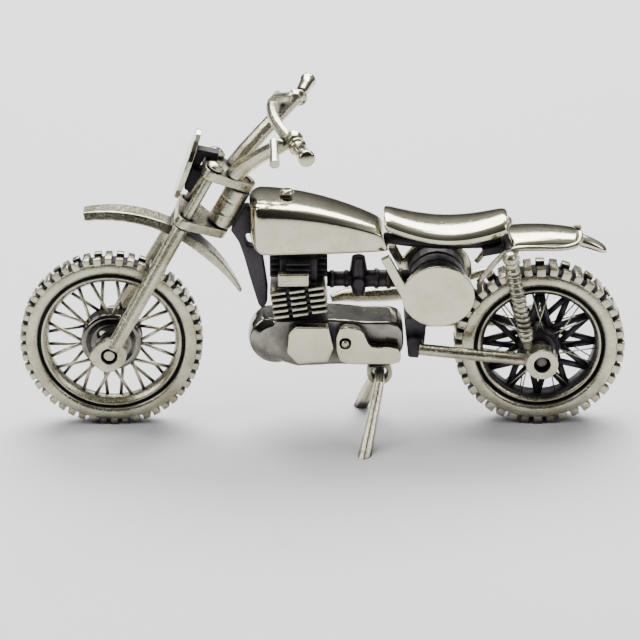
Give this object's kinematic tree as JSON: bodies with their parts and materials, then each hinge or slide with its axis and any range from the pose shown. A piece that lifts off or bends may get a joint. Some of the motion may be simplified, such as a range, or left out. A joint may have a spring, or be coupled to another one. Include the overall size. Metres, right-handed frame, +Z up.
{
  "type": "miniature motorcycle",
  "caption": "Cast silver miniature of an off-road motorcycle with turning wheels, a steering fork and a folding wire stand.",
  "frame": {"origin": "centre of the bounding box at ground level, where the tyres and the stand's feet rest", "axes": "+Z up, the machine faces -X, its left side is -Y"},
  "size_m": [0.0846, 0.0308, 0.0481],
  "materials": {
    "silver": "satin cast silver with dark recesses",
    "polished_silver": "polished silver with fine scratches",
    "oxidised_silver": "oxidised silver, nearly black with brighter edges"
  },
  "bodies": {
    "chassis": {"head_tube": "silver", "down_tube": "oxidised_silver", "backbone_tube": "oxidised_silver", "fuel_tank": "polished_silver", "tank_cap": "polished_silver", "seat": "polished_silver", "cylinder_barrel": "silver", "cylinder_head": "oxidised_silver", "crankcase": "silver", "clutch_cover": "polished_silver", "gear_cover": "polished_silver", "cover_rivet": "silver", "right_case_cover": "silver", "carburettor": "oxidised_silver", "intake_tube": "oxidised_silver", "air_boot": "oxidised_silver", "air_filter": "oxidised_silver", "side_panel_left": "polished_silver", "side_panel_right": "polished_silver", "exhaust_chamber": "silver", "swingarm_pivot": "oxidised_silver", "swingarm_left": "silver", "swingarm_right": "silver", "rear_axle_pin": "silver", "rear_spacer_left": "oxidised_silver", "rear_spacer_right": "oxidised_silver", "shock_left": "silver", "shock_right": "silver", "rear_bridge": "oxidised_silver", "rear_mudguard": "silver", "tail_flap": "polished_silver", "fender_stay_left": "silver", "fender_stay_right": "silver", "stand_lug": "silver"},
    "steering": {"lower_clamp_and_stem": "silver", "upper_clamp": "silver", "fork_leg_left": "silver", "fork_leg_right": "silver", "front_axle_pin": "silver", "front_spacer_left": "oxidised_silver", "front_spacer_right": "oxidised_silver", "front_mudguard": "silver", "number_plate": "polished_silver", "plate_bracket": "oxidised_silver", "handlebar": "silver", "grip_left": "polished_silver", "grip_right": "polished_silver", "lever_left": "silver", "lever_right": "silver"},
    "front_wheel": {"front_tyre": "silver", "front_spoke_wheel": "silver"},
    "rear_wheel": {"rear_tyre": "silver", "rear_spoke_wheel": "oxidised_silver"},
    "stand": {"centre_stand": "silver"}
  },
  "joints": [
    {"name": "steering_turn", "type": "hinge", "parent": "chassis", "child": "steering", "pos_m": [-0.01309, 0, 0.03222], "axis": [0.4939, 0, 0.8695], "range_deg": [-35, 35]},
    {"name": "front_wheel_spin", "type": "hinge", "parent": "steering", "child": "front_wheel", "pos_m": [-0.02952, 0, 0.0128], "axis": [0, 1, 0], "continuous": true},
    {"name": "rear_wheel_spin", "type": "hinge", "parent": "chassis", "child": "rear_wheel", "pos_m": [0.03037, 0, 0.01195], "axis": [0, 1, 0], "continuous": true},
    {"name": "stand_fold", "type": "hinge", "parent": "chassis", "child": "stand", "pos_m": [0.008, 0, 0.0084], "axis": [0, -1, 0], "range_deg": [0, 85]}
  ]
}
